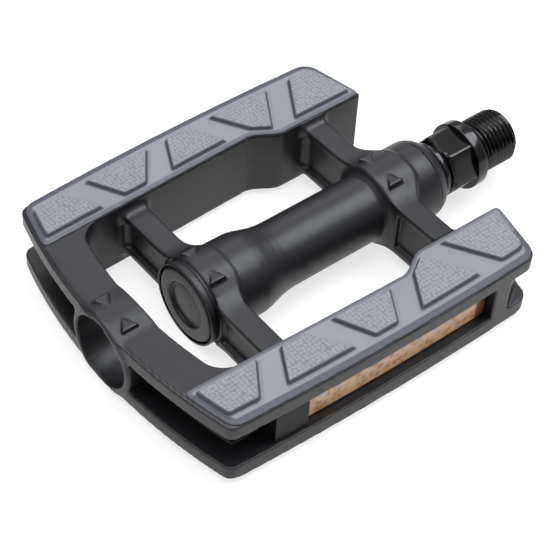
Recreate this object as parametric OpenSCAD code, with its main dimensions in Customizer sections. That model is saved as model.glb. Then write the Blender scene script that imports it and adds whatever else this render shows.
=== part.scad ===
// Double-sided flat pedal.
// +X runs inboard along the spindle towards the crank, +Y is one rail,
// +Z is the upper tread. The origin is the centre of the spindle's
// crank shoulder, so the thread stands in +X and the pedal body in -X.

/* [Platform] */
// Half width over the two rails at their widest
half_w = 42.6; // [41.6:0.2:44]
// Radius of the bow along each rail's outer edge
rail_bow_r = 850; // [700:50:1200]
// Outermost reach of the outboard wall on the axis
wall_x = -111.2; // [-113:0.1:-110.5]
// Radius of the outboard wall in plan
wall_r = 150; // [130:5:180]
// Inboard end of the rails, at the outer corner
rail_end_out = -18.1; // [-20:0.1:-16]
// Inboard end of the rails, at the inner corner
rail_end_in = -14; // [-15:0.1:-13]
// Half height of the moulded body at the rails
half_h = 9.1; // [8.8:0.1:9.5]
// Half height of the channel moulded into the outer sides
chan_h = 5; // [4.6:0.1:5.4]
// Depth of that channel
chan_d = 6; // [5:0.1:6.5]

/* [Arms and barrel] */
// Outboard face of the outboard arm
arm_out_x = -85.9; // [-86.5:0.1:-85]
// Outboard face of the inboard arm
arm_in_x = -33; // [-34:0.1:-32]
// Width of each arm along the spindle
arm_w = 6.3; // [5.5:0.1:7]
// Half height of the outboard arm at the rails
arm_out_h = 6.2; // [5.8:0.1:7]
// Half height of the inboard arm at the rails
arm_in_h = 7.4; // [6.5:0.1:8]
// Outer radius of the barrel tube
barrel_r = 8.5; // [8.3:0.1:9]
// Outer radius of the collar at each end of the barrel
collar_r = 10.6; // [10.4:0.1:10.8]
// Radius of the tool opening in the outboard wall
access_r = 9.2; // [8:0.1:9.4]

/* [Pads] */
// Height of a pad's base above the body
pad_t = 0.7; // [0.7:0.1:1]
// Height of the raised tread blocks above the base
block_t = 0.8; // [0.5:0.1:1]
// Width of the sloping margin round the blocks
pad_margin = 2.6; // [2:0.1:3]

/* [Bearings] */
// Ball diameter
ball_d = 3.175; // [3:0.025:3.2]
// Balls in each row
ball_n = 12; // [8:1:12]
// Radius of the circle through the ball centres
ball_pcr = 6.6; // [6.5:0.05:6.7]
// Running clearance between ball and track
ball_clear = 0.03; // [0.02:0.01:0.05]

/* [Spindle] */
// Major diameter of the crank thread
thread_d = 14.2; // [14:0.05:14.3]
// Length from the shoulder to the thread's end
thread_l = 12.2; // [10:0.1:14]
// Radius of the shoulder flange
flange_r = 8.9; // [8.6:0.1:9.2]
// Width across the wrench flats
flats = 15; // [14.5:0.1:15.2]

/* [Hidden] */

body_c = [0.25, 0.25, 0.27];
pad_c = [0.56, 0.57, 0.60];
steel_c = [0.72, 0.72, 0.74];
black_c = [0.06, 0.06, 0.07];
amber_c = [0.85, 0.48, 0.16];

cap_face = -88.1;              // outboard face of the collar
race_in = -23;                 // ball row nearest the crank
race_out = -76;                // ball row nearest the cap
cup_r = 9;                     // outside of a pressed cup
cup_in_r = 7.5;                // inside of a cup, beside the track
tube_r = 6.3;                  // clear tube between the cups
track_r = ball_d / 2 + ball_clear;
bow_x = -45;                   // where the rails are widest
pad_z = half_h;
inner_m = 0.036;               // splay of the rails' inner edges
ring_r = 10.5;                  // ring round the tool opening
mark_z = 10.5;                 // level top of the arrow wedges

// Half gap between the rails at a station along the spindle,
// stepping in where the rails widen at the inboard arm.
function smooth(t) = let (u = min(1, max(0, t))) u * u * (3 - 2 * u);
function inner_y(x) =
  (29.14 + inner_m * (x + 30.6)) * (1 - smooth((x + 48) / 9))
  + (25 + 0.01 * (x + 14)) * smooth((x + 48) / 9);

// Solid of revolution about the X axis from [x, r] points
module turned(pts, fn = 96)
  rotate([0, 90, 0]) rotate([0, 0, 0])
    rotate_extrude($fn = fn) polygon([for (p = pts) [p[1], p[0]]]);

module tube_x(x0, x1, r, fn = 96)
  translate([x0, 0, 0]) rotate([0, 90, 0])
    cylinder(r = r, h = x1 - x0, $fn = fn);

// Plan of the whole platform, pulled in by d
module platform_2d(d = 0) {
  intersection() {
    translate([bow_x, half_w - rail_bow_r]) circle(r = rail_bow_r - d, $fn = 1440);
    translate([bow_x, rail_bow_r - half_w]) circle(r = rail_bow_r - d, $fn = 1440);
    translate([wall_x + wall_r, 0]) circle(r = wall_r - d, $fn = 720);
    polygon([[-130, -60], [rail_end_out - d + 3.8, -60],
      [rail_end_out - d, -half_w], [rail_end_in - d, -24],
      [rail_end_in - d, 24], [rail_end_out - d, half_w],
      [rail_end_out - d + 3.8, 60], [-130, 60]]);
  }
}

// The open middle of the platform, grown by d; the outboard wall
// closes it unless open is set
module middle_2d(d = 0, open = false) {
  xs = [for (i = [0:14]) -50 + i * 13 / 14];
  intersection() {
    union() {
      polygon(concat(
        [[-125, inner_y(-125) + d]], [for (x = xs) [x, inner_y(x) + d]],
        [[0, inner_y(0) + d], [0, -inner_y(0) - d]],
        [for (i = [14:-1:0]) [xs[i], -inner_y(xs[i]) - d]],
        [[-125, -inner_y(-125) - d]]));
    }
    union() {
      translate([-101.2 - d + 110, 0]) circle(r = 110, $fn = 720);
      translate([open ? -130 : -50, -40]) square([open ? 140 : 60, 80]);
    }
  }
}

// Fillet between the outboard wall and a rail, +Y side
module corner_fillet_2d(r = 4.5) {
  yc = inner_y(-94) - r;
  xc = 8.8 - sqrt((110 - r) * (110 - r) - yc * yc);
  tx = 8.8 + (xc - 8.8) * 110 / (110 - r);
  ty = yc * 110 / (110 - r);
  difference() {
    polygon([[xc, yc], [tx, ty], [tx - 1.5, ty], [tx - 1.5, yc + r + 1], [xc, yc + r + 1]]);
    translate([xc, yc]) circle(r = r, $fn = 96);
  }
}

// Side recess: platform edge band of the given depth
module edge_band_2d(d) difference() { platform_2d(-1); platform_2d(d); }

module arm_profile(h, r, rho) {
  // section across the pedal: beam, hub circle and their fillets
  yc = sqrt((r + rho) * (r + rho) - (h + rho) * (h + rho));
  intersection() {
    union() {
      square([60, 2 * h], center = true);
      circle(r = r, $fn = 96);
      for (s = [-1, 1], u = [-1, 1]) scale([s, u]) difference() {
        polygon([[0, h - 1], [yc, h - 1], [yc, h],
          [yc * r / (r + rho), (h + rho) * r / (r + rho)], [0, r * 0.6]]);
        translate([yc, h + rho]) circle(r = rho, $fn = 96);
      }
    }
    square([60, 30], center = true);
  }
}

module arm(x0, h, flare) {
  intersection() {
    translate([x0 - 6, 0, 0]) rotate([90, 0, 90])
      linear_extrude(arm_w + 14) arm_profile(h, collar_r, 14);
    translate([0, 0, -20]) linear_extrude(40) {
      translate([x0, -28.6]) square([arm_w, 57.2]);
      // web widens towards the hub on the inboard side
      difference() {
        translate([x0 + arm_w - 1, -9]) square([flare + 1, 18]);
        for (s = [-1, 1]) translate([x0 + arm_w + 9, s * 12])
          circle(r = 9, $fn = 96);
      }
    }
  }
}

module arm_groove(x0, h) {
  // long recess in both faces of an arm, leaving two flanges
  for (s = [-1, 1], side = [0, 1])
    translate([x0 + side * arm_w - 1.3, s * 20 - 7, -(h - 2.3)])
      cube([2.6, 14, 2 * (h - 2.3)]);
}

// Pairs of low arrow wedges that point at the axis; their level tops
// run out of the round hub and end in a step
module chevrons(x)
  for (s = [-1, 1], u = [-1, 1])
    scale([1, s, u]) translate([x, 0, mark_z - 2]) linear_extrude(2)
      polygon([[-2.3, 5.8], [0, 2.1], [2.3, 5.8]]);

module reflector_cut(s) {
  // pocket in a rail's outer side for the clip-in reflector
  intersection() {
    translate([0, 0, -chan_h]) linear_extrude(2 * chan_h) edge_band_2d(7);
    translate([-93.4, s > 0 ? 20 : -50, -10]) cube([63, 30, 20]);
  }
}

module pedal_body() {
  color(body_c) difference() {
    union() {
      difference() {
        union() {
          translate([0, 0, -half_h]) linear_extrude(2 * half_h) {
            difference() { platform_2d(0); middle_2d(0); }
            for (s = [-1, 1]) scale([1, s]) corner_fillet_2d();
          }
          // crowned ring round the tool opening
          intersection() {
            tube_x(-115, -101.2, ring_r);
            translate([0, 0, -15]) linear_extrude(30)
              intersection() { platform_2d(0); translate([-125, -20]) square([23.8, 40]); }
          }
        }
        // channel round the outboard end and along the rails
        difference() {
          translate([0, 0, -chan_h]) linear_extrude(2 * chan_h)
            edge_band_2d(chan_d);
          // solid stretch of the outer side
          for (s = [-1, 1])
            translate([-93.4, s > 0 ? 20 : -60, -10]) cube([90, 40, 20]);
          tube_x(-125, -95, ring_r);
        }
        // reflector pockets
        for (s = [-1, 1]) reflector_cut(s);
        // open recess at the inboard end of each rail, with a slanting web
        for (s = [-1, 1]) scale([1, s, 1])
          translate([0, 0, -chan_h]) linear_extrude(2 * chan_h)
            polygon([[-25.3, 47], [-25.3, half_w - 0.6], [-18.2, 37.4],
              [-10, 31.5], [-10, 47]]);
      }
      difference() {
        union() {
          arm(arm_out_x, arm_out_h, 2);
          arm(arm_in_x, arm_in_h, 4);
        }
        arm_groove(arm_out_x, arm_out_h);
        arm_groove(arm_in_x, arm_in_h);
      }
      // barrel with its collars
      turned([[cap_face, 0], [cap_face, collar_r - 0.3], [cap_face + 0.3, collar_r],
        [-71, collar_r - 0.3], [-69, collar_r - 0.6], [-67, collar_r - 1.2],
        [-65, barrel_r + 0.5], [-63, barrel_r + 0.1], [-61, barrel_r],
        [arm_in_x + 1, barrel_r], [arm_in_x + 1, collar_r - 0.2],
        [-17, collar_r - 0.3], [-17, 0]]);
      // low arrow wedges on the arms and the wall
      for (x = [arm_out_x + 3.2, arm_in_x + 3.6, -106.8]) chevrons(x);
    }
    // tool opening in the outboard wall, opposite the cap
    tube_x(-130, cap_face - 1, access_r);
    // bore: cap socket, cup seats, clear tube and seal seat
    tube_x(cap_face - 1, -84, 9.5);
    tube_x(cap_face - 1, -86, 10.1);
    tube_x(-84.5, race_out + 3, cup_r);
    tube_x(race_out - 9, race_in + 9, tube_r);
    tube_x(race_in - 3, -16, cup_r);
    // blind holes for the pads' pegs
    for (s = [-1, 1], u = [-1, 1], x = peg_x)
      translate([x, s * 34, u > 0 ? half_h - 2.6 : -half_h - 1])
        cylinder(r = 2.05, h = 3.6, $fn = 48);
  }
}

peg_x = [-99, -62, -24];

module pad_plan(d) {
  // one pad's outline on the +Y rail, pulled in by d
  difference() {
    intersection() {
      platform_2d(1.3 + d);
      // stops a little short of the outboard wall's edge
      translate([wall_x + wall_r + 0.7, 0]) circle(r = wall_r - 1.3 - d, $fn = 720);
      translate([-125, 20]) square([125, 30]);
    }
    middle_2d(0.9 + d * 0.45, true);
  }
}

// Plan of the raised blocks' common outline on the +Y rail
module blocks_2d() {
  difference() {
    intersection() {
      translate([bow_x, half_w - rail_bow_r]) circle(r = rail_bow_r - pad_margin - 0.7, $fn = 1440);
      translate([wall_x + wall_r, 0]) circle(r = wall_r - 2.4, $fn = 720);
      polygon([[-125, 20], [rail_end_in - 1.9, 20], [rail_end_out - 1.9, half_w], [-125, half_w]]);
    }
    middle_2d(pad_margin - 0.7, true);
  }
}

// raised tread block: points on the pad in plan
module block(pts) linear_extrude(pad_t + block_t) polygon(pts);

module pad_at_front() {
  translate([0, 0, pad_z]) {
    linear_extrude(0.35) pad_plan(-1.3);
    linear_extrude(0.6) pad_plan(-0.3);
    linear_extrude(pad_t) pad_plan(0.8);
    intersection() {
      linear_extrude(5) blocks_2d();
      union() {
        block([[-112, 20], [-84.1, 20], [-99, 42], [-99, 45], [-112, 45]]);
        block([[-92.7, 45], [-81.4, 25], [-80.5, 25], [-66.2, 45]]);
        block([[-71.9, 25], [-50, 25], [-62.2, 45], [-61.6, 45]]);
        block([[-54.8, 45], [-42.8, 25], [-42.4, 25], [-30.1, 45]]);
        block([[-38.3, 20], [-8, 20], [-8, 45], [-22.8, 45]]);
      }
    }
  }
  // pegs that key the pad into the body
  for (x = peg_x) translate([x, 34, pad_z - 2.4]) cylinder(r = 2, h = 2.6, $fn = 48);
}

module top_front_pad() { color(pad_c) pad_at_front(); }
module top_rear_pad() { color(pad_c) mirror([0, 1, 0]) pad_at_front(); }
module bottom_front_pad() { color(pad_c) mirror([0, 0, 1]) pad_at_front(); }
module bottom_rear_pad() { color(pad_c) mirror([0, 1, 0]) mirror([0, 0, 1]) pad_at_front(); }

module reflector_base_at_front() {
  // carrier that clips into the rail: back plate and the outboard end block
  intersection() {
    translate([0, 0, -chan_h + 0.1]) linear_extrude(2 * chan_h - 0.2)
      difference() {
        platform_2d(0.9);
        platform_2d(6.9);
      }
    difference() {
      translate([-93.3, 20, -10]) cube([62.8, 30, 20]);
      // seat for the lens
      translate([0, 0, -10]) linear_extrude(20) intersection() {
        difference() { platform_2d(-2); platform_2d(4.82); }
        translate([-84.5, 20]) square([60, 30]);
      }
    }
  }
}

module reflector_lens_at_front() {
  intersection() {
    translate([0, 0, -chan_h + 0.2]) linear_extrude(2 * chan_h - 0.4)
      difference() { platform_2d(2.5); platform_2d(4.8); }
    translate([-84.4, 20, -10]) cube([53.8, 30, 20]);
  }
}

module front_reflector_base() { color(black_c) reflector_base_at_front(); }
module rear_reflector_base() { color(black_c) mirror([0, 1, 0]) reflector_base_at_front(); }
module front_reflector_lens() { color(amber_c) reflector_lens_at_front(); }
module rear_reflector_lens() { color(amber_c) mirror([0, 1, 0]) reflector_lens_at_front(); }

module dust_cap() {
  // stepped round cover, hollow behind for the lock nut
  color(body_c) turned([[cap_face + 0.5, 0], [cap_face + 0.5, 5.6],
    [cap_face + 0.1, 6], [cap_face + 0.1, 9.6], [cap_face + 0.4, 9.9],
    [cap_face + 1.4, 9.9], [cap_face + 1.4, 9.46], [-84.1, 9.46],
    [-84.1, 8.4], [cap_face + 1.6, 8.2], [cap_face + 1.6, 0]]);
}

module nose_ring() {
  // rounded ring pressed into the inboard collar over the bearing
  color(body_c) turned([[-19.6, 7.22], [-19.6, cup_r - 0.02],
    [-16.98, cup_r - 0.02], [-16.98, collar_r - 0.35], [-16.2, 10.2],
    [-15, 9.6], [-14, 8.8], [-13.5, 8.1], [-13.3, 7.6], [-13.3, 7.22]]);
}

module dust_seal() {
  // rubber ring inside the nose ring, with a thin lip on the spindle
  color(black_c) turned([[-18.9, 6.65], [-18.9, 7.2], [-13.2, 7.2],
    [-13.2, 6.75], [-14, 6.55], [-14.3, 6.55], [-15, 6.75]]);
}

module track() rotate([0, 90, 0]) rotate_extrude($fn = 96)
  translate([ball_pcr, 0]) circle(r = track_r, $fn = 48);

module cup_at(x, s) {
  difference() {
    translate([x, 0, 0]) scale([s, 1, 1])
      turned([[-2.9, 6.95], [-2.9, cup_r - 0.02], [2.9, cup_r - 0.02],
        [2.9, cup_in_r], [-1.4, cup_in_r], [-2.2, 6.95]]);
    translate([x, 0, 0]) track();
  }
}

module inboard_cup() { color(steel_c) cup_at(race_in, 1); }
module outboard_cup() { color(steel_c) cup_at(race_out, -1); }

module ball_row(x)
  for (i = [0:ball_n - 1]) rotate([i * 360 / ball_n, 0, 0])
    translate([x, 0, ball_pcr]) sphere(d = ball_d, $fn = 32);

module inboard_balls() { color(steel_c) ball_row(race_in); }
module outboard_balls() { color(steel_c) ball_row(race_out); }

module spindle() {
  color(black_c) difference() {
    union() {
      tube_x(-0.5, thread_l - 1, thread_d / 2);
      turned([[-3.3, 0], [-3.3, flange_r - 0.6], [-2.7, flange_r],
        [-0.5, flange_r], [0, flange_r - 0.6], [0, 0]]);
      turned([[thread_l - 1.1, 0], [thread_l - 1.1, thread_d / 2 - 0.05],
        [thread_l, thread_d / 2 - 0.9], [thread_l, 0]]);
      intersection() {
        translate([-11, 0, 0]) rotate([0, 90, 0]) rotate([0, 0, 33])
          cylinder(r = flats / 2 / cos(30), h = 8, $fn = 6);
        turned([[-11, 0], [-11, 7.6], [-10.2, 8.5], [-2.9, 8.5], [-2.9, 0]]);
      }
      turned([[-13, 0], [-13, 6.9], [-12.5, 7.4], [-11.5, 7.4], [-10.9, 6.9], [-10.9, 0]]);
      turned([[-28, 0], [-28, 5], [-26.5, 5.6], [-20.4, 5.6], [-19.6, 6.2], [-18, 6.48],
        [-12.8, 6.48], [-12.8, 0]]);
      turned([[-73, 0], [-73, 4.2], [-68, 4.4], [-40, 5], [-27.5, 5.02], [-27.5, 0]]);
      tube_x(-84.4, -72, 3.5);
    }
    translate([race_in, 0, 0]) track();
    // lathe centre in the crank end
    turned([[thread_l - 2.2, 0], [thread_l - 1, 0.9], [thread_l + 0.5, 2.6],
      [thread_l + 0.5, 0]], 48);
  }
}

module outboard_cone() {
  color(steel_c) difference() {
    turned([[-79.2, 0], [-79.2, 5.2], [-78.8, 5.6], [-74, 5.6], [-73.1, 4.9], [-73.1, 0]]);
    translate([race_out, 0, 0]) track();
    tube_x(-80, -72, 3.54);
  }
}

module lock_washer() {
  color(steel_c) difference() {
    tube_x(-80.1, -79.22, 5.8);
    tube_x(-81, -78, 3.54);
  }
}

module lock_nut() {
  color(steel_c) difference() {
    translate([-83.4, 0, 0]) rotate([0, 90, 0]) cylinder(r = 5.5 / cos(30), h = 3.28, $fn = 6);
    tube_x(-84, -80, 3.54);
  }
}

pedal_body();
top_front_pad();
top_rear_pad();
bottom_front_pad();
bottom_rear_pad();
front_reflector_base();
rear_reflector_base();
front_reflector_lens();
rear_reflector_lens();
dust_cap();
nose_ring();
dust_seal();
inboard_cup();
outboard_cup();
inboard_balls();
outboard_balls();
spindle();
outboard_cone();
lock_washer();
lock_nut();
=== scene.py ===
import bpy, math
import numpy as np
from mathutils import Matrix, Vector


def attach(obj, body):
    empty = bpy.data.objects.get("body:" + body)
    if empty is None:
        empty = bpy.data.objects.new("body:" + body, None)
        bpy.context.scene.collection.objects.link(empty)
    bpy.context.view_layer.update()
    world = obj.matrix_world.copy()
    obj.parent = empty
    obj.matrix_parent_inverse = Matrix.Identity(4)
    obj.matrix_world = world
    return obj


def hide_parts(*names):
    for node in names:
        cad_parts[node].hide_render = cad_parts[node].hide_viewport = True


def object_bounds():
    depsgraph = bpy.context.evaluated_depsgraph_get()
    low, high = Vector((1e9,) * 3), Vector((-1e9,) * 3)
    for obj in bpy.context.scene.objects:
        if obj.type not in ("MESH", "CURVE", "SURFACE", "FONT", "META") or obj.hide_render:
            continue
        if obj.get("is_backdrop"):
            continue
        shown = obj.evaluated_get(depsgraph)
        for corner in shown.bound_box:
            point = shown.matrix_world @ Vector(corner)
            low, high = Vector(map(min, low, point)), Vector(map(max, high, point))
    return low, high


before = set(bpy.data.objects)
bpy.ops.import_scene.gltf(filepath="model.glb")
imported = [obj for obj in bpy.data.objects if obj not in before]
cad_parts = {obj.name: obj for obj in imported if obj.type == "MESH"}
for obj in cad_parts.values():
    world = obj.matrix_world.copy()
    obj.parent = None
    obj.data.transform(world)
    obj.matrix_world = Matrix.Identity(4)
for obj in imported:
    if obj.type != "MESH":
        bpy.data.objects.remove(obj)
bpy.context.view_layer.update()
MM = 0.001

# ---------------------------------------------------------------- dimensions, mm
HALF_W, BOW_R, BOW_X = 42.6, 850.0, -45.0
WALL_X, WALL_R = -111.2, 150.0
END_OUT, END_IN = -18.1, -14.0
HALF_H, CHAN_H, CHAN_D = 9.1, 5.0, 6.0
ARM_OUT_X, ARM_IN_X, ARM_W = -85.9, -33.0, 6.3
ARM_OUT_H, ARM_IN_H = 6.2, 7.4
BARREL_R, COLLAR_R, ACCESS_R = 8.5, 10.6, 9.2
RING_R, MARK_Z = 10.5, 10.5
CAP_FACE = -88.1
PAD_T, BLOCK_T = 0.7, 0.8
THREAD_R, FLANGE_R, FLATS = 7.1, 8.9, 15.0


# ---------------------------------------------------------------- distance fields
def rmax(a, b, r):
    """Both shapes, their common edge rounded by r."""
    u, v = np.maximum(a + r, 0), np.maximum(b + r, 0)
    return np.minimum(-r, np.maximum(a, b)) + np.sqrt(u * u + v * v)


def rmin(a, b, r):
    """Either shape, the corner between them filled by a fillet of radius r."""
    u, v = np.maximum(r - a, 0), np.maximum(r - b, 0)
    return np.maximum(r, np.minimum(a, b)) - np.sqrt(u * u + v * v)


def smooth(t):
    u = np.clip(t, 0, 1)
    return u * u * (3 - 2 * u)


def inner_y(x):
    s = smooth((x + 48) / 9)
    return (29.14 + 0.036 * (x + 30.6)) * (1 - s) + (25 + 0.01 * (x + 14)) * s


def platform(x, y, r_corner=1.8):
    """Plan of the platform, y >= 0."""
    bow = np.hypot(x - BOW_X, y - (HALF_W - BOW_R)) - BOW_R
    wall = np.hypot(x - (WALL_X + WALL_R), y) - WALL_R
    n = math.hypot(HALF_W - 24, END_IN - END_OUT)
    end = ((x - END_IN) * (HALF_W - 24) + (y - 24) * (END_IN - END_OUT)) / n
    return rmax(rmax(bow, wall, r_corner), end, 2.6)


def rails(x, y):
    """Plan of one rail's inner limit, y >= 0; negative inside the rail."""
    slope = np.gradient(inner_y(x[:, 0]), x[:, 0]) if x.ndim > 1 else 0
    k = 1 / np.sqrt(1 + slope * slope)
    return (inner_y(x) - y) * (k[:, None] if x.ndim > 1 else k)


def wall_in(x, y):
    return 110 - np.hypot(x - 8.8, y)


def polygon(x, y, pts):
    """Signed distance to a closed polygon in plan."""
    best = np.full(np.broadcast(x, y).shape, 1e9)
    inside = np.zeros(best.shape, bool)
    n = len(pts)
    for i in range(n):
        ax, ay = pts[i]
        bx, by = pts[(i + 1) % n]
        ex, ey = bx - ax, by - ay
        wx, wy = x - ax, y - ay
        t = np.clip((wx * ex + wy * ey) / (ex * ex + ey * ey), 0, 1)
        best = np.minimum(best, (wx - ex * t) ** 2 + (wy - ey * t) ** 2)
        up = (ay > y) != (by > y)
        if ay != by:
            inside ^= up & (x < ex * (y - ay) / ey + ax)
    return np.where(inside, -1, 1) * np.sqrt(best)


# ---------------------------------------------------------------- surface nets
def nets(f, lo, h):
    """Watertight quads where the field f changes sign."""
    s = f < 0
    c = np.zeros(tuple(n - 1 for n in f.shape), np.uint8)
    corners = [(i, j, k) for i in (0, 1) for j in (0, 1) for k in (0, 1)]
    for i, j, k in corners:
        c += s[i:i + c.shape[0], j:j + c.shape[1], k:k + c.shape[2]]
    mixed = (c > 0) & (c < 8)
    cell = np.full(c.shape, -1, np.int64)
    at = np.argwhere(mixed)
    cell[mixed] = np.arange(len(at))
    acc, num = np.zeros((len(at), 3)), np.zeros(len(at))
    for a in corners:
        for axis in range(3):
            if a[axis]:
                continue
            b = list(a)
            b[axis] = 1
            pa, pb = at + np.array(a), at + np.array(b)
            fa, fb = f[tuple(pa.T)], f[tuple(pb.T)]
            m = (fa < 0) != (fb < 0)
            t = np.zeros(len(at))
            t[m] = fa[m] / (fa[m] - fb[m])
            p = np.array(a, float)[None] + 0 * acc
            p[:, axis] += t
            acc[m] += p[m]
            num += m
    verts = np.array(lo) + np.array(h) * (at + acc / num[:, None])
    quads = []
    for axis in range(3):
        u, v = (axis + 1) % 3, (axis + 2) % 3
        a = [slice(None)] * 3
        b = [slice(None)] * 3
        a[axis], b[axis] = slice(0, -1), slice(1, None)
        sa, sb = s[tuple(a)], s[tuple(b)]
        for sign in (0, 1):
            e = np.argwhere(sa & ~sb if sign == 0 else ~sa & sb)
            e = e[(e[:, u] > 0) & (e[:, v] > 0) & (e[:, u] < f.shape[u] - 1) & (e[:, v] < f.shape[v] - 1)]
            q = []
            for du, dv in ((1, 1), (0, 1), (0, 0), (1, 0)):
                p = e.copy()
                p[:, u] -= du
                p[:, v] -= dv
                q.append(cell[tuple(p.T)])
            q = np.stack(q, 1)
            quads.append(q if sign == 0 else q[:, ::-1])
    return verts, np.concatenate(quads)


def mesh_object(name, verts, faces, material, scale=MM):
    """Object from vertex and face arrays, smooth shaded."""
    faces = np.asarray(faces)
    me = bpy.data.meshes.new(name)
    me.vertices.add(len(verts))
    me.vertices.foreach_set("co", (np.asarray(verts) * scale).astype(np.float32).ravel())
    n, k = faces.shape
    me.loops.add(n * k)
    me.loops.foreach_set("vertex_index", faces.astype(np.int32).ravel())
    me.polygons.add(n)
    me.polygons.foreach_set("loop_start", (np.arange(n) * k).astype(np.int32))
    me.polygons.foreach_set("use_smooth", np.ones(n, bool))
    me.update(calc_edges=True)
    me.validate()
    o = bpy.data.objects.new(name, me)
    bpy.context.scene.collection.objects.link(o)
    me.materials.append(material)
    return o


def thin(o, triangles):
    """Fewer faces where the surface is flat."""
    o.data.calc_loop_triangles()
    n = len(o.data.loop_triangles)
    if n <= triangles:
        return o
    m = o.modifiers.new("thin", "DECIMATE")
    m.ratio = triangles / n
    dg = bpy.context.evaluated_depsgraph_get()
    made = bpy.data.meshes.new_from_object(o.evaluated_get(dg))
    o.modifiers.clear()
    old = o.data
    o.data = made
    made.name = o.name
    bpy.data.meshes.remove(old)
    o.data.polygons.foreach_set("use_smooth", np.ones(len(o.data.polygons), bool))
    o.data.update()
    return o


def field_object(name, fn, lo, hi, h, material, mirror_y=False, mirror_z=False, budget=None):
    """Meshes fn(x, y, z) over a box, mirrored where the shape is."""
    lo, hi = np.array(lo, float), np.array(hi, float)
    ax = [np.arange(lo[i], hi[i] + h, h) for i in range(3)]
    if mirror_y:
        ax[1] = np.arange(0, hi[1] + h, h)
    if mirror_z:
        ax[2] = np.arange(0, hi[2] + h, h)
    f = fn(ax[0], ax[1], ax[2]).astype(np.float32)
    org = [a[0] for a in ax]
    if mirror_y:
        f = np.concatenate([f[:, :0:-1], f], 1)
        org[1] = -ax[1][-1]
    if mirror_z:
        f = np.concatenate([f[:, :, :0:-1], f], 2)
        org[2] = -ax[2][-1]
    v, q = nets(f, org, (h, h, h))
    o = mesh_object(name, v, q, material)
    return thin(o, budget) if budget else o


# ---------------------------------------------------------------- materials
def new_mat(name):
    m = bpy.data.materials.new(name)
    m.use_nodes = True
    t = m.node_tree
    t.nodes.clear()
    out = t.nodes.new("ShaderNodeOutputMaterial")
    b = t.nodes.new("ShaderNodeBsdfPrincipled")
    t.links.new(b.outputs[0], out.inputs[0])
    return m, t, b


def node(t, kind, **values):
    n = t.nodes.new(kind)
    for k, v in values.items():
        if k in n.inputs:
            n.inputs[k].default_value = v
        else:
            setattr(n, k, v)
    return n


def noise(t, scale, detail=4.0, rough=0.55, vec=None):
    n = node(t, "ShaderNodeTexNoise", Scale=scale, Detail=detail, Roughness=rough)
    if vec is not None:
        t.links.new(vec, n.inputs["Vector"])
    return n


def ramp(t, fac, stops):
    r = t.nodes.new("ShaderNodeValToRGB")
    e = r.color_ramp.elements
    while len(e) < len(stops):
        e.new(0.5)
    for i, (p, c) in enumerate(stops):
        e[i].position = p
        e[i].color = (*c, 1) if len(c) == 3 else c
    t.links.new(fac, r.inputs[0])
    return r


def grey(v):
    return (v, v, v)


def bump(t, b, height, strength, distance):
    n = node(t, "ShaderNodeBump", Strength=strength, Distance=distance)
    t.links.new(height, n.inputs["Height"])
    t.links.new(n.outputs[0], b.inputs["Normal"])
    return n


def moulded(name, dark, light, rough, grain=0.00004, grain_scale=5200, spec=0.5):
    """Satin injection-moulded plastic: soft mottling, fine spark-eroded grain."""
    m, t, b = new_mat(name)
    co = node(t, "ShaderNodeTexCoord").outputs["Object"]
    big = noise(t, 70, 3.0, 0.5, co)
    t.links.new(ramp(t, big.outputs[0], [(0.3, dark), (0.7, light)]).outputs[0], b.inputs["Base Color"])
    mid = noise(t, 900, 3.0, 0.6, co)
    r = ramp(t, mid.outputs[0], [(0.3, grey(rough - 0.04)), (0.7, grey(rough + 0.05))])
    t.links.new(r.outputs[0], b.inputs["Roughness"])
    fine = noise(t, grain_scale, 2.0, 0.6, co)
    bump(t, b, fine.outputs[0], 0.35, grain)
    b.inputs["Specular IOR Level"].default_value = spec
    return m


def rubber(name):
    """Grey tread pad: smooth channels, darker speckled blocks, and painted shade on the sloping margins and block
    step walls.
    """
    m, t, b = new_mat(name)
    co = node(t, "ShaderNodeTexCoord").outputs["Object"]
    at = node(t, "ShaderNodeAttribute", attribute_name="block")
    fine = noise(t, 2600, 2.0, 0.7, co)
    big = noise(t, 60, 2.0, 0.5, co)
    smooth_c = ramp(t, big.outputs[0], [(0.3, (0.170, 0.178, 0.196)), (0.7, (0.190, 0.198, 0.218))])
    dots = node(t, "ShaderNodeTexVoronoi", voronoi_dimensions="2D", Scale=980.0, Randomness=0.35)
    t.links.new(co, dots.inputs["Vector"])
    add = node(t, "ShaderNodeMath", operation="MULTIPLY_ADD")
    add.inputs[1].default_value = -0.75
    t.links.new(dots.outputs["Distance"], add.inputs[0])
    t.links.new(fine.outputs[0], add.inputs[2])
    block_c = ramp(t, add.outputs[0], [(0.02, (0.128, 0.136, 0.142)), (0.30, (0.205, 0.212, 0.222))])
    mix = node(t, "ShaderNodeMix", data_type="RGBA")
    t.links.new(at.outputs["Fac"], mix.inputs["Factor"])
    t.links.new(smooth_c.outputs[0], mix.inputs["A"])
    t.links.new(block_c.outputs[0], mix.inputs["B"])
    # painted shade: the "side" attribute darkens the sloping margins and the block step walls in the colour
    side = node(t, "ShaderNodeAttribute", attribute_name="side")
    painted_shade_mix = node(t, "ShaderNodeMix", data_type="RGBA")
    painted_shade_mix.inputs["B"].default_value = (0.055, 0.058, 0.072, 1)
    t.links.new(side.outputs["Fac"], painted_shade_mix.inputs["Factor"])
    t.links.new(mix.outputs["Result"], painted_shade_mix.inputs["A"])
    t.links.new(painted_shade_mix.outputs["Result"], b.inputs["Base Color"])
    r = ramp(t, fine.outputs[0], [(0.3, grey(0.50)), (0.7, grey(0.62))])
    t.links.new(r.outputs[0], b.inputs["Roughness"])
    bump(t, b, fine.outputs[0], 0.4, 0.00006)
    b.inputs["Specular IOR Level"].default_value = 0.4
    return m


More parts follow.
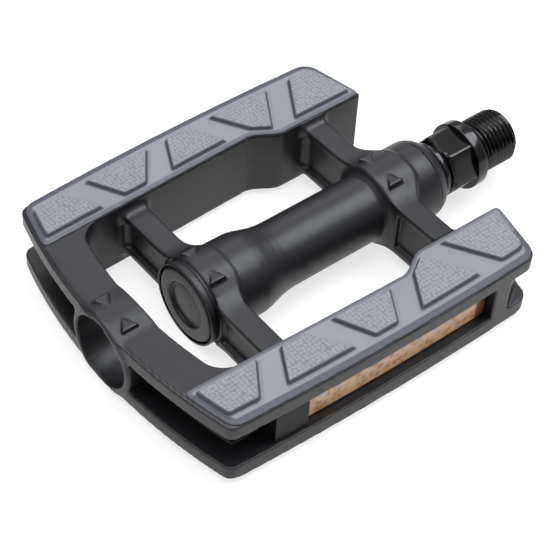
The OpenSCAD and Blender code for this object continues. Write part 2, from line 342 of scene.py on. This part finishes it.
def metal(name, col, rough, turned=True, metallic=1.0, coat=0.0):
    """Turned or ground steel: fine rings round the axis, faint stains."""
    m, t, b = new_mat(name)
    co = node(t, "ShaderNodeTexCoord").outputs["Object"]
    stain = noise(t, 260, 4.0, 0.6, co)
    lo = tuple(c * 0.86 for c in col)
    t.links.new(ramp(t, stain.outputs[0], [(0.35, lo), (0.65, col)]).outputs[0], b.inputs["Base Color"])
    w = noise(t, 1500, 4.0, 0.6, co)
    if turned:
        mp = node(t, "ShaderNodeMapping")
        mp.inputs["Scale"].default_value = (1, 0.02, 0.02)
        t.links.new(co, mp.inputs[0])
        t.links.new(mp.outputs[0], w.inputs["Vector"])
        w.inputs["Scale"].default_value = 9000
    t.links.new(ramp(t, w.outputs[0], [(0.3, grey(max(rough - 0.05, 0.03))), (0.7, grey(rough + 0.08))]).outputs[0], b.inputs["Roughness"])
    bump(t, b, w.outputs[0], 0.12, 0.00001)
    b.inputs["Metallic"].default_value = metallic
    b.inputs["Coat Weight"].default_value = coat
    b.inputs["Coat Roughness"].default_value = 0.08
    return m


def amber(name):
    """Amber reflector: moulded prisms seen through a clear glossy front, their glints painted into the colour as
    light cells.
    """
    m, t, b = new_mat(name)
    co = node(t, "ShaderNodeTexCoord").outputs["Object"]
    v = node(t, "ShaderNodeTexVoronoi", Scale=560.0, Randomness=0.8)
    t.links.new(co, v.inputs["Vector"])
    big = noise(t, 190, 4.0, 0.65, co)
    add = node(t, "ShaderNodeMath", operation="MULTIPLY_ADD")
    add.inputs[1].default_value = 0.55
    t.links.new(v.outputs["Distance"], add.inputs[0])
    t.links.new(big.outputs[0], add.inputs[2])
    # prism cells: the pattern is the real prisms, the light orange cells are painted highlights of their glints
    c = ramp(t, add.outputs[0], [(0.42, (0.20, 0.080, 0.028)), (0.60, (0.40, 0.205, 0.090)), (0.82, (0.60, 0.385, 0.23))])
    edge = node(t, "ShaderNodeAttribute", attribute_name="edge")
    mix = node(t, "ShaderNodeMix", data_type="RGBA")
    mix.inputs["B"].default_value = (0.10, 0.035, 0.008, 1)
    t.links.new(edge.outputs["Fac"], mix.inputs["Factor"])
    t.links.new(c.outputs[0], mix.inputs["A"])
    t.links.new(mix.outputs["Result"], b.inputs["Base Color"])
    t.links.new(ramp(t, v.outputs["Distance"], [(0.2, grey(0.28)), (0.8, grey(0.40))]).outputs[0], b.inputs["Roughness"])
    bump(t, b, v.outputs["Distance"], 0.25, 0.00010)
    b.inputs["Coat Weight"].default_value = 0.3
    b.inputs["Coat Roughness"].default_value = 0.12
    b.inputs["Subsurface Weight"].default_value = 0.0
    return m


BODY = moulded("charcoal_nylon", (0.0060, 0.0060, 0.0078), (0.0082, 0.0082, 0.0104), 0.40, spec=0.45)
CARRIER = moulded("black_carrier", (0.003, 0.003, 0.0034), (0.0048, 0.0048, 0.0052), 0.45, spec=0.18)
CAP = moulded("cap_nylon", (0.008, 0.008, 0.009), (0.011, 0.011, 0.012), 0.36, spec=0.35)
SEAL = moulded("seal_nitrile", (0.010, 0.010, 0.011), (0.016, 0.016, 0.017), 0.55)
PAD = rubber("tread_elastomer")
AMBER = amber("amber_prisms")
BLACK = metal("black_oxide_gloss", (0.0025, 0.0025, 0.003), 0.15, metallic=0.0, coat=0.12)
BLACK.node_tree.nodes["Principled BSDF"].inputs["Specular IOR Level"].default_value = 0.35
RACE = metal("ground_race_steel", (0.55, 0.55, 0.56), 0.20)
BALL = metal("polished_ball_steel", (0.72, 0.72, 0.73), 0.06, turned=False)
PLATED = metal("zinc_plated_steel", (0.52, 0.53, 0.54), 0.28)


# ---------------------------------------------------------------- pedal body
def body_field(xs, ys, zs):
    x2, y2 = xs[:, None], ys[None, :]
    x, y, z = xs[:, None, None], ys[None, :, None], zs[None, None, :]
    rad = np.hypot(y, z)
    plan = platform(x2 + 0 * y2, y2 + 0 * x2)
    rail = rails(x2 + 0 * y2, y2 + 0 * x2)
    wall = wall_in(x2, y2)
    frame2 = rmin(rail, wall, 4.5)
    solid2 = rmax(plan, frame2, 0.6)
    # moulding with rounded long edges, and a low step inside the rim
    d = rmax(solid2[:, :, None], np.abs(z) - HALF_H, 0.55)
    rim = rmax(-(plan + 0.85)[:, :, None], -(z - (HALF_H - 0.28)), 0.1)
    d = rmax(d, -rim, 0.12)
    # crowned ring round the tool opening
    ring = rmax(rad - RING_R, np.maximum(plan, wall)[:, :, None], 0.5)
    ring = rmax(ring, x + 101.2, 0.3)
    # channel round the outboard end and along the outer sides
    band = -(plan + CHAN_D)
    chan = rmax(band[:, :, None], z - CHAN_H, 0.5)
    chan = np.maximum(chan, -np.where(y > 20, -(x + 93.4), 1e3))
    chan = rmax(chan, -(rad - RING_R) + 0 * x, 1.6)
    d = rmax(d, -chan, 0.3)
    d = rmin(d, ring, 1.6)
    # pocket for the reflector
    pocket = np.maximum(np.maximum(-(plan + 7.0)[:, :, None], np.abs(z) - CHAN_H), np.maximum(-(x + 93.4), x + 30.4))
    d = rmax(d, -pocket, 0.25)
    # open recess at the inboard end, with a slanting web
    ax, ay, bx, by = -25.3, HALF_W - 0.6, -18.2, 37.4
    n = math.hypot(bx - ax, by - ay)
    web = ((x2 - ax) * (by - ay) - (y2 - ay) * (bx - ax)) / n
    recess = rmax(np.maximum(web, -(x2 + 25.3))[:, :, None], np.abs(z) - CHAN_H, 0.8)
    d = rmax(d, -recess, 0.25)

    # cross arms
    def arm(x0, h, flare):
        rho, yy = 14.0, ys
        yc = math.sqrt((COLLAR_R + rho) ** 2 - (h + rho) ** 2)
        yt = yc * COLLAR_R / (COLLAR_R + rho)
        top = np.where(yy < yt, np.sqrt(np.maximum(COLLAR_R ** 2 - yy ** 2, 1e-6)),
                       np.where(yy < yc, h + rho - np.sqrt(np.maximum(rho ** 2 - (yy - yc) ** 2, 1e-6)), h))
        slope = np.gradient(top, yy)
        sec = ((z[0] - top[:, None]) / np.sqrt(1 + slope ** 2)[:, None])
        sec = np.where(rad[0] < COLLAR_R, np.minimum(sec, rad[0] - COLLAR_R), sec)
        sec = np.maximum(sec, y[0] - 29.5)[None]
        half = ARM_W / 2
        side = np.abs(x - (x0 + half)) - half
        grow = flare * smooth((12.5 - y) / 8.0) * (x > x0 + half)
        side = side - grow
        a = rmax(sec, side, 0.6)
        g2 = rmax(rmax(z - (h - 2.1), np.abs(y - 19.5) - 8.5, 1.0) + 0 * x, -(side + 1.25), 0.4)
        return rmax(a, -g2, 0.35)

    arms = np.minimum(arm(ARM_OUT_X, ARM_OUT_H, 2.0), arm(ARM_IN_X, ARM_IN_H, 4.0))
    # barrel and collars
    pts = [(CAP_FACE, 0), (CAP_FACE, COLLAR_R), (-71, COLLAR_R - 0.25), (-69.2, COLLAR_R - 0.55),
           (-67.2, COLLAR_R - 1.1), (-65.2, BARREL_R + 0.5), (-63, BARREL_R + 0.12), (-61, BARREL_R),
           (-34.5, BARREL_R), (-32.5, COLLAR_R - 0.3), (-17, COLLAR_R - 0.3), (-17, 0)]
    hub = polygon(xs[:, None] + 0 * 0, np.linspace(0, 16, 200)[None, :], pts)
    # look the profile up by radius
    rr = np.clip(rad[0] / 16 * 199, 0, 198.999)
    i0 = rr.astype(int)
    w = (rr - i0)[None]
    hub = hub[:, i0] * (1 - w) + hub[:, i0 + 1] * w
    hub = rmax(hub, -(x - CAP_FACE) + 0 * hub, 0.35)
    # parting groove between the hub and the collar that stands before the arm
    groove = np.hypot(x - (ARM_OUT_X + 0.2), rad - COLLAR_R - 0.12) - 0.52
    d = rmin(d, arms, 2.2)
    d = rmin(d, hub, 0.9)
    d = rmax(d, -groove, 0.15)
    # arrow wedges with level tops
    mark = np.full(d.shape, 1e9, np.float32)
    for cx in (ARM_OUT_X + 3.2, ARM_IN_X + 3.6, -106.8):
        tri = polygon(x2, y2, [(cx - 2.3, 5.8), (cx, 2.1), (cx + 2.3, 5.8)])
        mark = np.minimum(mark, rmax(tri[:, :, None], np.maximum(z - MARK_Z, -(z - 7.5)), 0.12))
    d = rmin(d, mark, 0.12)
    # bore: tool opening, cap socket, cup seats, clear tube
    for x0, x1, r in ((-130, CAP_FACE - 1, ACCESS_R), (CAP_FACE - 2, CAP_FACE + 3.4, 9.5), (CAP_FACE - 2, CAP_FACE + 1.4, 10.1),
                      (-84.6, -73, 9.0), (-85, -14, 6.3), (-26, -15, 9.0)):
        c = np.maximum(rad - r, np.abs(x - (x0 + x1) / 2) - (x1 - x0) / 2)
        d = rmax(d, -c, 0.22)
    return d


h_body = 0.32
pedal_body = field_object("pedal_body_moulding", body_field, (-112.4, 0, 0), (-12.4, 44, 11.2), h_body, BODY,
                          mirror_y=True, mirror_z=True, budget=188000)
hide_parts("pedal_body")
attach(pedal_body, "cage")


# ---------------------------------------------------------------- grip pads
BLOCKS = [
    [(-114, 20), (-84.1, 20), (-99, 42), (-99, 47), (-114, 47)],
    [(-93.8, 47), (-81.4, 25), (-80.5, 25), (-64.8, 47)],
    [(-71.9, 25), (-50, 25), (-61.9, 45)],
    [(-56, 47), (-42.8, 25), (-42.4, 25), (-28.9, 47)],
    [(-38.3, 20), (-8, 20), (-8, 47), (-21.6, 47)],
]


def pad_fields(x, y):
    """Distance to the pad's outline, to its raised blocks, and to its inner side."""
    bow = np.hypot(x - BOW_X, y - (HALF_W - BOW_R)) - BOW_R
    wall = np.hypot(x - (WALL_X + WALL_R), y) - WALL_R
    n = math.hypot(HALF_W - 24, END_IN - END_OUT)
    end = ((x - END_IN) * (HALF_W - 24) + (y - 24) * (END_IN - END_OUT)) / n
    rail = inner_y(x) - y
    outline = rmax(rmax(rmax(bow + 0.12, wall + 0.8, 2.4), end + 0.12, 3.2), rail + 0.15, 1.6)
    common = rmax(rmax(rmax(bow + 3.3, wall + 2.4, 0.9), end + 1.9, 1.8), rail + 1.9, 0.8)
    near = np.full(np.broadcast(x, y).shape, 1e9)
    for b in BLOCKS:
        near = np.minimum(near, rmax(polygon(x, y, b), common, 0.5))
    return outline, near, (bow > rail) | (wall > rail)


def pad_height(x2, y2):
    """Top of the pad above the body."""
    outline, near, outer = pad_fields(x2, y2)
    reach = np.where(outer, 1.9, 1.3)
    base = 0.22 + (PAD_T - 0.14 - 0.22) * np.clip(-outline / reach, 0, 1) ** 0.8
    # shallow line between the shelf and the sloping edge
    base = base - 0.07 * smooth(1 - np.abs(-outline - 1.75) / 0.35)
    lift = smooth(-near / 0.6 + 0.3)
    base = base - 0.18 * smooth(1 - np.abs(near - 0.4) / 0.6)
    # rows of small pips on the blocks
    u, v = (x2 * 0.866 + y2 * 0.5) / 1.15, (x2 * 0.866 - y2 * 0.5) / 1.15
    pip = (np.cos(2 * np.pi * u) + np.cos(2 * np.pi * v)) * 0.25 + 0.5
    on = smooth((-near - 0.35) / 0.4)
    return base + lift * (PAD_T + BLOCK_T - base) - on * 0.24 * (1 - pip), outline


def pad_field(xs, ys, zs):
    top, outline = pad_height(xs[:, None] + 0 * ys[None, :], ys[None, :] + 0 * xs[:, None])
    z = zs[None, None, :] - HALF_H
    d = np.maximum((z - top[:, :, None]) * 0.75, -(z - 0.02))
    return rmax(d, outline[:, :, None], 0.18)


h_pad = 0.22
first = None
for nm, sy, sz in (("top_front_pad", 1, 1), ("top_rear_pad", -1, 1), ("bottom_front_pad", 1, -1), ("bottom_rear_pad", -1, -1)):
    if first is None:
        pad = field_object(nm + "_tread", pad_field, (-112.2, 22.5, 9.0), (-12.6, 43.6, 11.1), h_pad, PAD,
                           budget=110000)
        first = pad.data
        n = len(first.vertices)
        co = np.zeros(n * 3, np.float32)
        first.vertices.foreach_get("co", co)
        co = co.reshape(-1, 3) / MM
        # how much of a block each point is, and how much painted shade it gets on the sloping margin and along the
        # block step walls
        px, py = co[:, 0].astype(float), co[:, 1].astype(float)
        out1, near1, outer1 = pad_fields(px, py)
        on1 = smooth((-near1 - 0.25) / 0.3)
        painted_shade1 = 1 - smooth((-out1 - 1.5) / 0.5)
        painted_shade1 = np.where(outer1, painted_shade1, 0.75 * (1 - smooth((-out1 - 0.9) / 0.4)))
        painted_shade1 = np.maximum(painted_shade1, 1.3 * smooth(1 - np.abs(near1 - 0.02) / 0.55))
        for key, val in (("block", on1), ("side", painted_shade1)):
            at = first.attributes.new(key, "FLOAT", "POINT")
            at.data.foreach_set("value", val.astype(np.float32))
    else:
        me = first.copy()
        me.name = nm + "_tread"
        pad = bpy.data.objects.new(nm + "_tread", me)
        bpy.context.scene.collection.objects.link(pad)
        me.transform(Matrix.Diagonal((1, sy, sz, 1)))
        if sy * sz < 0:
            me.flip_normals()
    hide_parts(nm)
    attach(pad, "cage")


# ---------------------------------------------------------------- turned pieces
def lathe(name, profile, material, around=128, radius=None, close=True):
    """Ring-by-ring solid about X. radius(x, angle, r, tag) reshapes a ring."""
    ang = np.arange(around) / around * 2 * np.pi
    verts, rings = [], []
    for p in profile:
        x, r = p[0], p[1]
        tag = p[2] if len(p) > 2 else ""
        if r <= 1e-9:
            rings.append([len(verts)])
            verts.append((x, 0, 0))
            continue
        rr = np.full(around, float(r)) if radius is None else radius(x, ang, r, tag)
        rings.append(list(range(len(verts), len(verts) + around)))
        verts += [(x, a, b) for a, b in zip(rr * np.cos(ang), rr * np.sin(ang))]
    faces = []
    pairs = list(zip(rings[:-1], rings[1:]))
    if close:
        pairs.append((rings[-1], rings[0]))
    for a, b in pairs:
        if len(a) == 1 and len(b) == 1:
            continue
        for i in range(around):
            j = (i + 1) % around
            if len(a) == 1:
                faces.append((a[0], b[j], b[i]))
            elif len(b) == 1:
                faces.append((a[i], a[j], b[0]))
            else:
                faces.append((a[i], a[j], b[j], b[i]))
    me = bpy.data.meshes.new(name)
    me.from_pydata([tuple(c * MM for c in v) for v in verts], [], faces)
    me.polygons.foreach_set("use_smooth", np.ones(len(me.polygons), bool))
    me.update()
    o = bpy.data.objects.new(name, me)
    bpy.context.scene.collection.objects.link(o)
    me.materials.append(material)
    outward(o)
    return o


def outward(o):
    """Faces point out of the closed mesh."""
    import bmesh
    bm = bmesh.new()
    bm.from_mesh(o.data)
    bmesh.ops.recalc_face_normals(bm, faces=bm.faces)
    bm.to_mesh(o.data)
    bm.free()


def by_angle(o, degrees=32):
    """Smooth shading broken at real edges."""
    me = o.data
    me.set_sharp_from_angle(angle=math.radians(degrees))
    return o


def rounded(points, r, n=4):
    """A profile with its corners rounded by about r."""
    out = [points[0]]
    for a, b, c in zip(points[:-2], points[1:-1], points[2:]):
        va = np.array(a[:2]) - np.array(b[:2])
        vc = np.array(c[:2]) - np.array(b[:2])
        la, lc = np.linalg.norm(va), np.linalg.norm(vc)
        tag = b[2:] if len(b) > 2 else ()
        cosang = float(va @ vc / max(la * lc, 1e-9))
        rad = b[3] if len(b) > 3 else r
        if cosang < -0.995 or rad <= 0:
            out.append(b)
            continue
        k = min(rad, la * 0.45, lc * 0.45)
        p0, p1 = np.array(b[:2]) + va / la * k, np.array(b[:2]) + vc / lc * k
        for i in range(n + 1):
            t = i / n
            q = (1 - t) ** 2 * p0 + 2 * t * (1 - t) * np.array(b[:2]) + t * t * p1
            out.append((float(q[0]), float(q[1]), *tag[:1]))
    out.append(points[-1])
    return out


# spindle: outboard stub, taper, inboard race, seal land, hexagon, shoulder, thread
PITCH = 1.27
HEX_AT = math.radians(3)


def spindle_radius(x, ang, r, tag):
    rr = np.full(len(ang), float(r))
    if tag == "hex":
        a = (ang - HEX_AT) % (math.pi / 3) - math.pi / 6
        flat = FLATS / 2 / np.cos(a)
        k = 0.18
        rr = -k * np.log(np.exp(-rr / k) + np.exp(-flat / k)) + 0.0
    elif tag == "thread":
        ph = (x / PITCH - ang / (2 * math.pi)) % 1.0
        tri = np.abs(ph - 0.5) * 2
        tri = np.clip((tri - 0.08) / 0.84, 0, 1)
        fade = smooth((x - 1.4) / 0.9) * 1.0
        depth = 0.68 * (1 - tri)
        rr = rr - depth * fade
    return rr


prof = [(-84.4, 0), (-84.4, 3.1), (-84.0, 3.5), (-73.0, 3.5), (-72.8, 4.1), (-68, 4.4), (-40, 5.0), (-28, 5.02), (-26.5, 5.6)]
tr = 1.6175
race = []
for i in range(13):
    a = math.radians(-90 - 38 + 76 * i / 12)
    race.append((-23 + tr * math.cos(a + 0) * 1.0, 6.6 + tr * math.sin(a)))
race.sort()
prof += [p for p in race if p[1] < 5.62]
prof += [(-20.4, 5.6), (-19.6, 6.2), (-18, 6.48), (-13.1, 6.48)]
neck = rounded([(-13.1, 6.48), (-13.0, 6.9), (-12.6, 7.4), (-11.5, 7.4), (-11.0, 6.95), (-10.98, 6.95)], 0.25)
prof += neck[1:]
hexp = [(-10.95, 7.15, "hex"), (-10.6, 7.75, "hex"), (-10.1, 8.45, "hex"), (-9.5, 8.62, "hex"), (-8, 8.62, "hex"), (-6, 8.62, "hex"), (-4.4, 8.62, "hex"),
        (-3.8, 8.62, "hex"), (-3.42, 8.62, "hex"), (-3.3, 8.62, "hex")]
prof += hexp
prof += rounded([(-3.29, 8.2), (-3.29, FLANGE_R), (-0.35, FLANGE_R), (-0.1, FLANGE_R - 0.35), (0, 7.4), (0.0, 6.55), (0.9, 6.3), (1.25, 6.5)], 0.3)
nthread = 130
for i in range(nthread + 1):
    x = 1.3 + 10.5 * i / nthread
    lead = min(THREAD_R, 6.55 + (x - 1.3) * 0.9)
    tail = THREAD_R - max(0, x - 11.2) * 0.9
    prof.append((x, min(lead, tail), "thread"))
prof += [(12.05, 6.25), (12.2, 6.0), (12.2, 2.6), (11.4, 1.2), (10.4, 0.5), (10.0, 0)]
spindle = lathe("spindle_turned", prof, BLACK, around=216, radius=spindle_radius, close=False)
by_angle(spindle, 26)
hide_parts("spindle")
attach(spindle, "spindle_set")

# dust cap: flat annulus, sunk ring and a plain domed centre
c0 = CAP_FACE
cap_prof = rounded([(c0 + 0.75, 0), (c0 + 0.8, 3.2), (c0 + 0.95, 4.9), (c0 + 1.05, 5.3), (c0 + 1.05, 5.8), (c0 + 0.35, 6.15),
                    (c0 + 0.2, 6.6), (c0 + 0.2, 9.1), (c0 + 0.45, 9.55), (c0 + 1.4, 9.62), (c0 + 1.4, 9.44), (c0 + 3.3, 9.44), (c0 + 3.3, 8.4),
                    (c0 + 1.7, 8.2), (c0 + 1.7, 0)], 0.22)
cap = lathe("dust_cap_moulding", cap_prof, CAP, around=160, close=False)
by_angle(cap, 40)
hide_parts("dust_cap")
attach(cap, "cage")

# nose ring round the seal
nose_prof = rounded([(-19.6, 7.22), (-19.6, 8.98), (-16.98, 8.98), (-16.98, COLLAR_R - 0.32, "", 0), (-16.2, 10.1), (-15, 9.6), (-14, 8.8), (-13.5, 8.1),
                     (-13.3, 7.6), (-13.35, 7.22)], 0.35)
nose = lathe("nose_ring_moulding", nose_prof, BODY, around=160)
by_angle(nose, 40)
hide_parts("nose_ring")
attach(nose, "cage")


# ---------------------------------------------------------------- reflectors
def lens_field(xs, ys, zs):
    x2, y2 = xs[:, None], ys[None, :]
    plan = np.hypot(x2 - BOW_X, y2 - (HALF_W - BOW_R)) - BOW_R
    x, z = xs[:, None, None], zs[None, None, :]
    depth = plan[:, :, None] + 3.66
    # rows of shallow prisms inside a plain border
    u, v = x / 2.45, (z + 0.5 * 2.1 * (np.floor(x / 2.45) % 2)) / 2.1
    prism = np.abs((u % 1) - 0.5) + np.abs((v % 1) - 0.5)
    border = np.maximum(np.abs(z) - 4.1, np.abs(x + 58.7) - 24.6)
    face = 0.10 * np.clip(1.2 - prism, 0, 1) * smooth(-border / 0.35)
    slab = np.abs(depth) - 1.13
    slab = slab + np.where(depth > 0, face, 0)
    return rmax(slab, rmax(np.abs(z) - 4.78, np.abs(x - (LENS_A + LENS_B) / 2) - (LENS_B - LENS_A) / 2, 0.3) + 0 * slab, 0.25)


LENS_A, LENS_B = -84.38, -30.6
h_lens = 0.24
lens = field_object("front_reflector_lens_moulding", lens_field, (-85.4, 36.0, -5.2), (-29.8, 41.2, 5.2), h_lens, AMBER, budget=90000)
co = np.zeros(len(lens.data.vertices) * 3, np.float32)
lens.data.vertices.foreach_get("co", co)
edge = lens.data.attributes.new("edge", "FLOAT", "POINT")
edge.data.foreach_set("value", smooth((co[::3] / MM + 34.0) / 0.6).astype(np.float32))
rear = bpy.data.objects.new("rear_reflector_lens_moulding", lens.data.copy())
bpy.context.scene.collection.objects.link(rear)
rear.data.transform(Matrix.Diagonal((1, -1, 1, 1)))
rear.data.flip_normals()
for o, nm in ((lens, "front_reflector_lens"), (rear, "rear_reflector_lens")):
    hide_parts(nm)
    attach(o, "cage")


# ---------------------------------------------------------------- kept CAD nodes
def finish_node(name, material):
    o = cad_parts[name]
    o.data.materials.clear()
    o.data.materials.append(material)


for nm, mat, sl in (("front_reflector_base", CARRIER, "carrier_plastic"), ("rear_reflector_base", CARRIER, "carrier_plastic"),
                    ("dust_seal", SEAL, "seal_rubber"), ("inboard_cup", RACE, "race_steel"), ("outboard_cup", RACE, "race_steel"),
                    ("inboard_balls", BALL, "ball_steel"), ("outboard_balls", BALL, "ball_steel"), ("outboard_cone", RACE, "race_steel"),
                    ("lock_washer", PLATED, "plated_steel"), ("lock_nut", PLATED, "plated_steel")):
    finish_node(nm, mat)


# ---------------------------------------------------------------- floor, light, camera
def floor():
    me = bpy.data.meshes.new("studio_floor")
    s, z = 1.6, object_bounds()[0][2] - 0.00005
    me.from_pydata([(-s, -s, z), (s, -s, z), (s, s, z), (-s, s, z)], [], [(0, 1, 2, 3)])
    o = bpy.data.objects.new("studio_floor", me)
    bpy.context.scene.collection.objects.link(o)
    m, t, b = new_mat("studio_white")
    b.inputs["Base Color"].default_value = (0.30, 0.30, 0.30, 1)
    b.inputs["Roughness"].default_value = 0.9
    b.inputs["Specular IOR Level"].default_value = 0.1
    b.inputs["Emission Color"].default_value = (1, 1, 1, 1)
    b.inputs["Emission Strength"].default_value = 0.72
    me.materials.append(m)
    o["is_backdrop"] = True


floor()
scene = bpy.context.scene
world = bpy.data.worlds.new("studio")
scene.world = world
world.use_nodes = True
wt = world.node_tree
wco = wt.nodes.new("ShaderNodeTexCoord")
wsep = wt.nodes.new("ShaderNodeSeparateXYZ")
wt.links.new(wco.outputs["Generated"], wsep.inputs[0])
wr = ramp(wt, wsep.outputs[2], [(0.0, grey(0.35)), (0.35, grey(0.42)), (0.75, grey(0.75))])
wt.links.new(wr.outputs[0], wt.nodes["Background"].inputs[0])
wt.nodes["Background"].inputs[1].default_value = 0.8


def area(name, at, target, size, power, size_y=None, colour=(1, 1, 1)):
    l = bpy.data.lights.new(name, "AREA")
    l.shape = "RECTANGLE"
    l.size, l.size_y = size, size_y or size
    l.energy = power
    l.color = colour
    o = bpy.data.objects.new(name, l)
    bpy.context.scene.collection.objects.link(o)
    o.location = at
    o.rotation_euler = (Vector(target) - Vector(at)).to_track_quat("-Z", "Y").to_euler()
    return o


C = (-0.05, 0, 0)
area("overhead", (-0.18, 0.05, 1.00), C, 0.8, 8.0, 0.7, (0.95, 0.97, 1.0))
area("key", (0.42, -0.16, 0.84), C, 0.7, 7.0, 0.45, (0.91, 0.94, 1.0))
area("back", (0.36, 0.72, 0.66), C, 0.5, 1.5, 0.5, (0.93, 0.95, 1.0))
area("left", (-0.85, 0.25, 0.55), C, 0.5, 0.8, 0.4)

# camera: a long lens 0.4 m away, as fitted to the outline of the object
az, el, roll = (math.radians(v) for v in (-41.282, 47.005, 3.633))
dist, cx, cy, focal = 399.096, 373.248, 201.753, 1631.002
back = Vector((math.sin(az) * math.cos(el), -math.cos(az) * math.cos(el), math.sin(el)))
right = Vector((math.cos(az), math.sin(az), 0))
up = back.cross(right)
r_ = right * math.cos(roll) + up * math.sin(roll)
u_ = -right * math.sin(roll) + up * math.cos(roll)
ox, oy = (cx - 275) / focal * dist, -(cy - 275) / focal * dist
loc = (back * dist - r_ * ox - u_ * oy - Vector((30.6, 0, 0))) * MM
cam_data = bpy.data.cameras.new("camera")
cam_data.sensor_width = 36
cam_data.lens = focal / 550 * 36
cam_data.clip_start, cam_data.clip_end = 0.01, 10
cam = bpy.data.objects.new("camera", cam_data)
scene.collection.objects.link(cam)
cam.matrix_world = Matrix.Translation(loc) @ Matrix((r_, u_, back)).transposed().to_4x4()
scene.camera = cam
scene.view_settings.view_transform = "Standard"
scene.view_settings.look = "None"
scene.view_settings.exposure = 0.0
